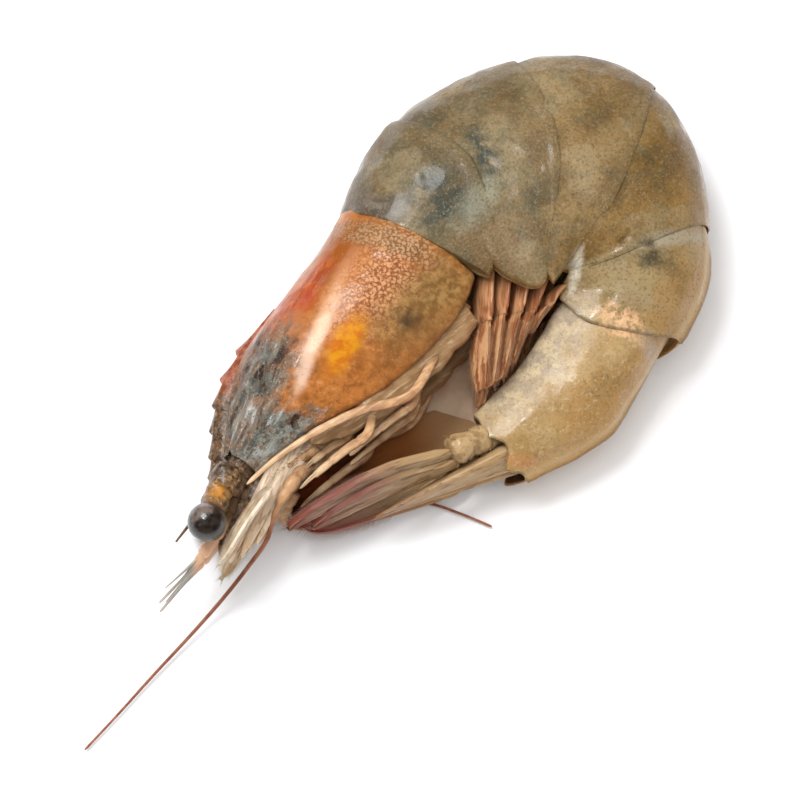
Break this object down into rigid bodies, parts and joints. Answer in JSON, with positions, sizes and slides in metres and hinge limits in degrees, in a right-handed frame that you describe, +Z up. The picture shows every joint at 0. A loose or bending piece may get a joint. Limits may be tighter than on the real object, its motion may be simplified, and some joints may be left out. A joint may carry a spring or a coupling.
{
  "type": "raw white tiger prawn",
  "caption": "Raw whole shell-on prawn with head, lying curled on its right side, its tail fan folded back under its head.",
  "frame": {"origin": "on the table, under the centre of the prawn's bounding box", "axes": "+Z up, out of the prawn's left side; the middle plane is level, the head points to -X -Y and the back of the tail to +X +Y"},
  "size_m": [0.0626, 0.0712, 0.0148],
  "materials": {
    "tail_shell": "wet translucent shell, olive grey-beige with fine dark specks, glossy",
    "head_shell": "wet shell, orange along the back and yellow below it, brown net pattern, glossy",
    "limb": "pale pinkish cream, slightly translucent, wet",
    "swimmer": "orange-brown translucent blades with fine hairs, wet",
    "fan": "ridged brown-beige blades with dark red-purple tips, wet",
    "scale": "pale translucent grey-cream plate, wet",
    "eye": "black, very glossy, faintly faceted",
    "feeler": "orange-brown ringed thread, semi-gloss"
  },
  "bodies": {
    "root": {"antenna_left": "feeler", "antenna_right": "feeler", "antenna_scale_left": "scale", "antenna_scale_right": "scale", "antennule_left": "feeler", "antennule_right": "feeler", "carapace": "head_shell", "eye_left": "eye", "eye_right": "eye", "fan_base_left": "tail_shell", "fan_base_right": "tail_shell", "fan_left_inner": "fan", "fan_left_outer": "fan", "fan_right_inner": "fan", "fan_right_outer": "fan", "head_front": "head_shell", "leg_1_left": "limb", "leg_1_right": "limb", "leg_2_left": "limb", "leg_2_right": "limb", "leg_3_left": "limb", "leg_3_right": "limb", "leg_4_left": "limb", "leg_4_right": "limb", "leg_5_left": "limb", "leg_5_right": "limb", "maxilliped_left": "limb", "maxilliped_right": "limb", "swimmeret_1_left": "swimmer", "swimmeret_1_right": "swimmer", "swimmeret_2_left": "swimmer", "swimmeret_2_right": "swimmer", "swimmeret_3_left": "swimmer", "swimmeret_3_right": "swimmer", "swimmeret_4_left": "swimmer", "swimmeret_4_right": "swimmer", "swimmeret_5_left": "swimmer", "swimmeret_5_right": "swimmer", "tail_ring_1": "tail_shell", "tail_ring_2": "tail_shell", "tail_ring_3": "tail_shell", "tail_ring_4": "tail_shell", "tail_ring_5": "tail_shell", "tail_ring_6": "tail_shell", "telson": "fan"}
  },
  "joints": []
}
